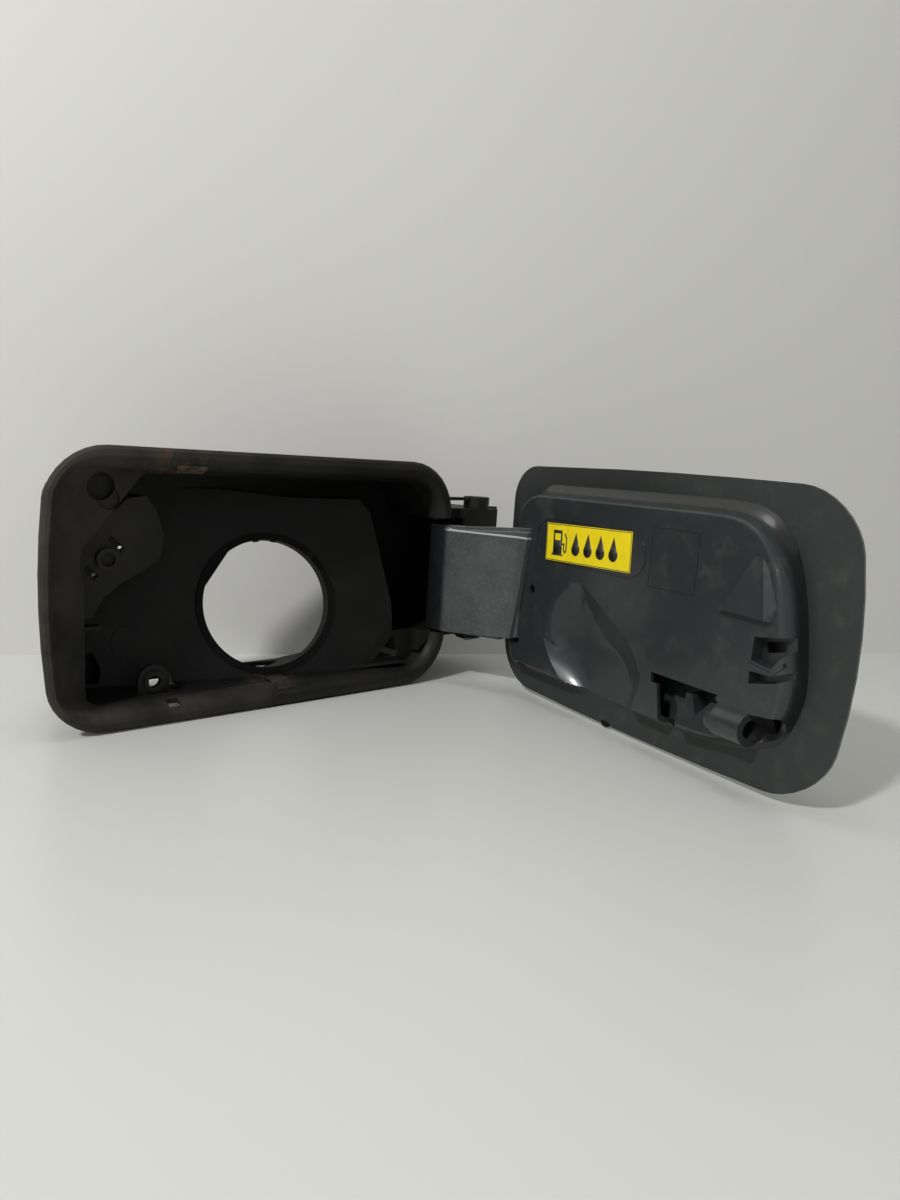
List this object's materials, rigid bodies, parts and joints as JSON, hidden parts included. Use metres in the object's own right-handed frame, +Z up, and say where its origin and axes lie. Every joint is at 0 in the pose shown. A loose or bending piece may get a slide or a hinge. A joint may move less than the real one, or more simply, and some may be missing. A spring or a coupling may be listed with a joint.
{
  "type": "car fuel door",
  "caption": "Car fuel door: black filler bowl with a round neck opening, gooseneck hinge arm, and an open door with a moulded inner liner and a yellow label.",
  "frame": {"origin": "centre of the filler neck opening, on the front plane of its leaning seat", "axes": "X toward the hinge side, Y into the car body, Z up"},
  "size_m": [0.2743, 0.3007, 0.1341],
  "materials": {
    "bowl_plastic": "moulded black polypropylene, dusty, slightly brown on the rim",
    "collar_rubber": "matte black moulded rubber",
    "clip_steel": "thin spring steel with a tan passivated finish",
    "pin_steel": "darkened steel",
    "arm_plastic": "glass-filled nylon, satin blue-grey",
    "bush_plastic": "natural acetal",
    "liner_plastic": "satin dark blue-grey moulding",
    "skin_paint": "painted moulded panel, dull on the inside",
    "label_film": "yellow printed film"
  },
  "bodies": {
    "bowl": {"housing_bowl": "bowl_plastic", "neck_collar": "collar_rubber", "retaining_clip_top": "clip_steel", "retaining_clip_floor": "clip_steel", "hinge_pin": "pin_steel", "pin_retainer": "pin_steel"},
    "door": {"hinge_arm": "arm_plastic", "arm_bush_upper": "bush_plastic", "arm_bush_lower": "bush_plastic", "door_liner": "liner_plastic", "door_skin": "skin_paint", "fuel_label": "label_film"}
  },
  "joints": [
    {"name": "door_hinge", "type": "hinge", "parent": "bowl", "child": "door", "pos_m": [0.1312, -0.0215, 0.0158], "axis": [0, 0, 1], "range_deg": [-80, 8]}
  ]
}
